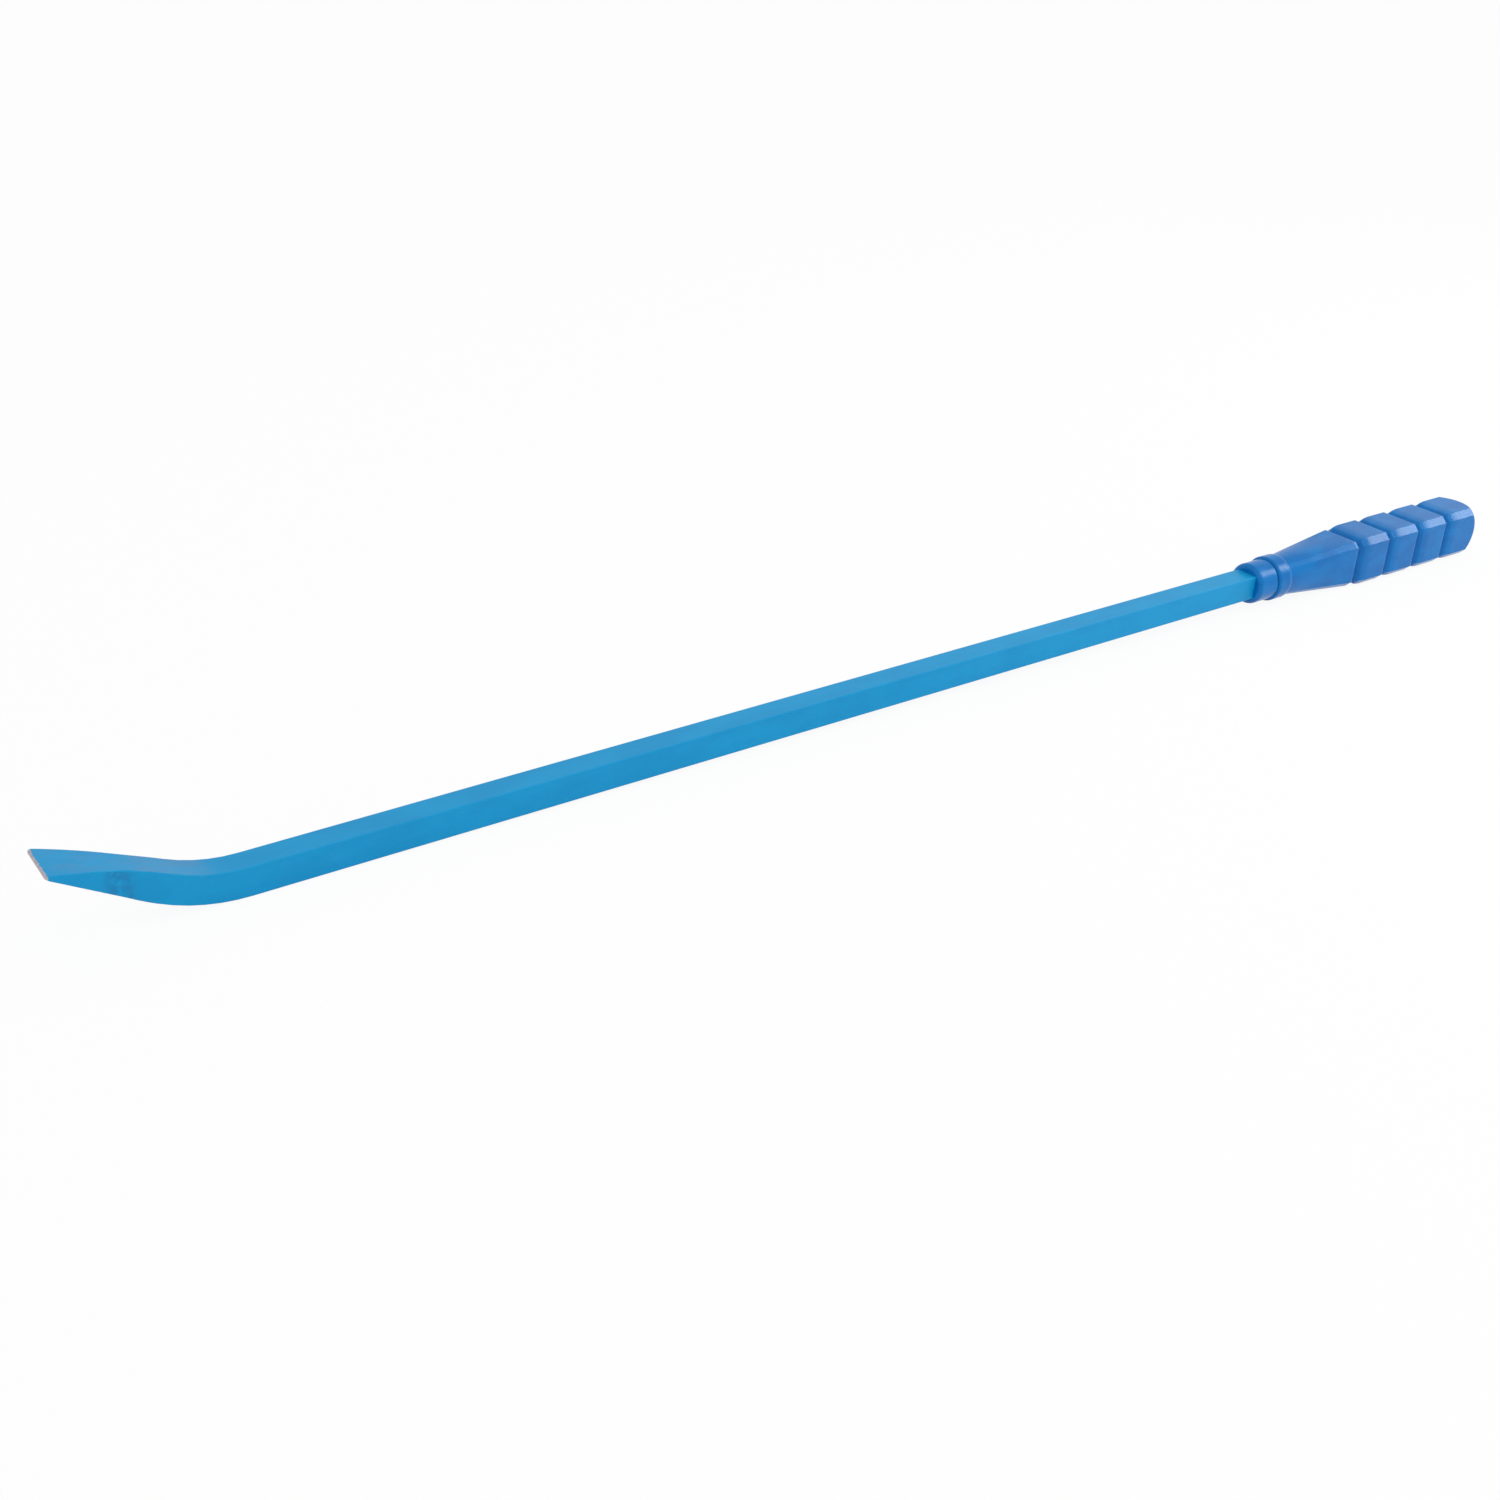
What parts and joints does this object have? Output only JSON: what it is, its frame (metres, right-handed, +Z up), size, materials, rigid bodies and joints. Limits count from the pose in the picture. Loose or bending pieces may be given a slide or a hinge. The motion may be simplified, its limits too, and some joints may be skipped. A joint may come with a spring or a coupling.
{
  "type": "pry bar",
  "caption": "Long pry bar: square steel bar with a turned-up flared chisel blade at one end and a ridged, moulded plastic handle at the other.",
  "frame": {"origin": "under the middle of the tool's length, at the height of the handle's lower flats", "axes": "+X along the bar from the blade to the butt of the handle, +Y across the bar, +Z up, the way the blade turns"},
  "size_m": [0.9, 0.0306, 0.0469],
  "materials": {
    "bar_paint": "satin light-blue paint over forged steel",
    "handle_plastic": "glossy moulded blue plastic"
  },
  "bodies": {
    "root": {"forged_bar": "bar_paint", "handle_moulding": "handle_plastic"}
  },
  "joints": []
}
